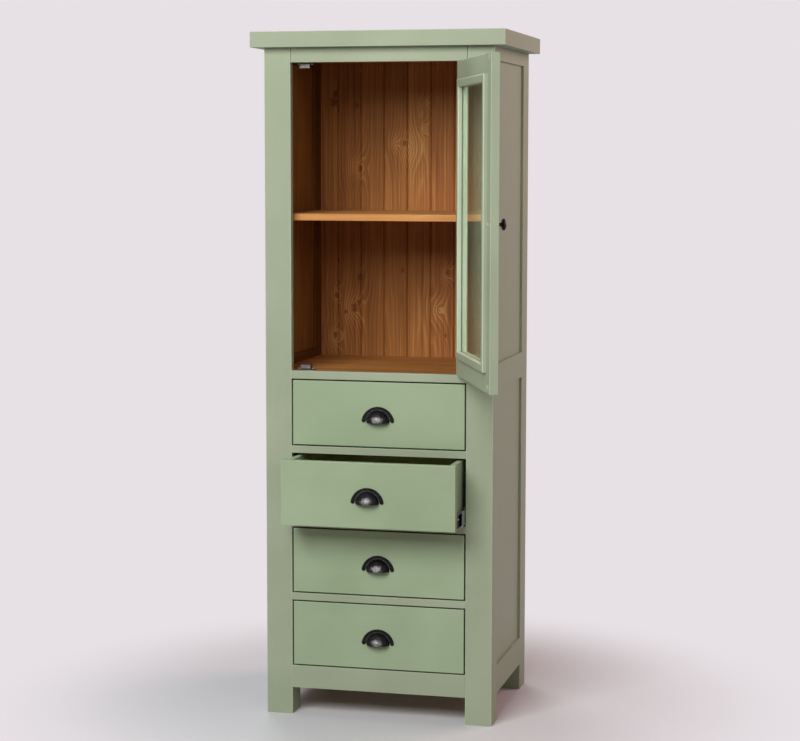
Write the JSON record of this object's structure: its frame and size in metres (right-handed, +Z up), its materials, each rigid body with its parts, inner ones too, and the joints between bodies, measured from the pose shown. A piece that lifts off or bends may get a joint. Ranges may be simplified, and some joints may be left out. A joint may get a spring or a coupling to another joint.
{
  "type": "kitchen cabinet",
  "caption": "Tall painted pine display cabinet with a glazed door over a shelved compartment and drawers with cup pulls below.",
  "frame": {"origin": "on the floor, midway between the four feet", "axes": "+Z up, +X to the right seen from the front, +Y to the back"},
  "size_m": [0.7948, 0.9723, 1.9],
  "materials": {
    "sage_paint": "satin sage-green paint on pine",
    "stained_pine": "brown stain and satin varnish on pine",
    "raw_pine": "bare planed pine",
    "plywood": "bare plywood",
    "clear_glass": "clear float glass",
    "black_iron": "blackened, worn to bare metal on the high spots",
    "plated_steel": "bright zinc plate",
    "black_plastic": "moulded black"
  },
  "bodies": {
    "carcass": {"back_boards": "stained_pine", "base_panel": "stained_pine", "carcass_screws": "plated_steel", "catch_housings": "black_plastic", "catch_magnets": "plated_steel", "compartment_floor": "stained_pine", "drawer_divider_rails": "sage_paint", "foot_blocks": "sage_paint", "front_bottom_rail": "sage_paint", "front_left_stile": "sage_paint", "front_right_stile": "sage_paint", "front_top_rail": "sage_paint", "front_waist_rail": "sage_paint", "hinge_frame_leaves": "plated_steel", "hinge_pins": "plated_steel", "left_side_stiles": "sage_paint", "right_side_stiles": "sage_paint", "shelf": "stained_pine", "shelf_pins": "plated_steel", "side_panels": "sage_paint", "side_rails": "sage_paint", "slide_battens": "raw_pine", "slide_outer_members": "plated_steel", "top_board": "sage_paint", "top_cleats": "stained_pine"},
    "door": {"door_bottom_rail": "sage_paint", "door_free_stile": "sage_paint", "door_glass": "clear_glass", "door_hinge_stile": "sage_paint", "door_knob": "black_iron", "door_screws": "plated_steel", "door_top_rail": "sage_paint", "glazing_beads": "sage_paint", "hinge_door_leaves": "plated_steel", "strike_plates": "plated_steel"},
    "drawer_1": {"drawer_1_bottom": "plywood", "drawer_1_box": "sage_paint", "drawer_1_front": "sage_paint", "drawer_1_pull": "black_iron", "drawer_1_slide_inner": "plated_steel"},
    "runner_1": {"drawer_1_slide_middle": "plated_steel"},
    "drawer_2": {"drawer_2_bottom": "plywood", "drawer_2_box": "sage_paint", "drawer_2_front": "sage_paint", "drawer_2_pull": "black_iron", "drawer_2_slide_inner": "plated_steel"},
    "runner_2": {"drawer_2_slide_middle": "plated_steel"},
    "drawer_3": {"drawer_3_bottom": "plywood", "drawer_3_box": "sage_paint", "drawer_3_front": "sage_paint", "drawer_3_pull": "black_iron", "drawer_3_slide_inner": "plated_steel"},
    "runner_3": {"drawer_3_slide_middle": "plated_steel"},
    "drawer_4": {"drawer_4_bottom": "plywood", "drawer_4_box": "sage_paint", "drawer_4_front": "sage_paint", "drawer_4_pull": "black_iron", "drawer_4_slide_inner": "plated_steel"},
    "runner_4": {"drawer_4_slide_middle": "plated_steel"}
  },
  "joints": [
    {"name": "door_hinge", "type": "hinge", "parent": "carcass", "child": "door", "pos_m": [0.2465, -0.2555, 1.394], "axis": [0, 0, 1], "range_deg": [-112, 63]},
    {"name": "drawer_1_slide", "type": "slide", "parent": "carcass", "child": "drawer_1", "axis": [0, -1, 0], "range_m": [0, 0.34]},
    {"name": "runner_1_slide", "type": "slide", "parent": "carcass", "child": "runner_1", "axis": [0, -1, 0], "range_m": [0, 0.17]},
    {"name": "drawer_2_slide", "type": "slide", "parent": "carcass", "child": "drawer_2", "axis": [0, -1, 0], "range_m": [-0.117, 0.223]},
    {"name": "runner_2_slide", "type": "slide", "parent": "carcass", "child": "runner_2", "axis": [0, -1, 0], "range_m": [-0.0585, 0.1115]},
    {"name": "drawer_3_slide", "type": "slide", "parent": "carcass", "child": "drawer_3", "axis": [0, -1, 0], "range_m": [0, 0.34]},
    {"name": "runner_3_slide", "type": "slide", "parent": "carcass", "child": "runner_3", "axis": [0, -1, 0], "range_m": [0, 0.17]},
    {"name": "drawer_4_slide", "type": "slide", "parent": "carcass", "child": "drawer_4", "axis": [0, -1, 0], "range_m": [0, 0.34]},
    {"name": "runner_4_slide", "type": "slide", "parent": "carcass", "child": "runner_4", "axis": [0, -1, 0], "range_m": [0, 0.17]}
  ],
  "couplings": [
    {"joint": "runner_1_slide", "follows": "drawer_1_slide", "ratio": 0.5},
    {"joint": "runner_2_slide", "follows": "drawer_2_slide", "ratio": 0.5},
    {"joint": "runner_3_slide", "follows": "drawer_3_slide", "ratio": 0.5},
    {"joint": "runner_4_slide", "follows": "drawer_4_slide", "ratio": 0.5}
  ]
}
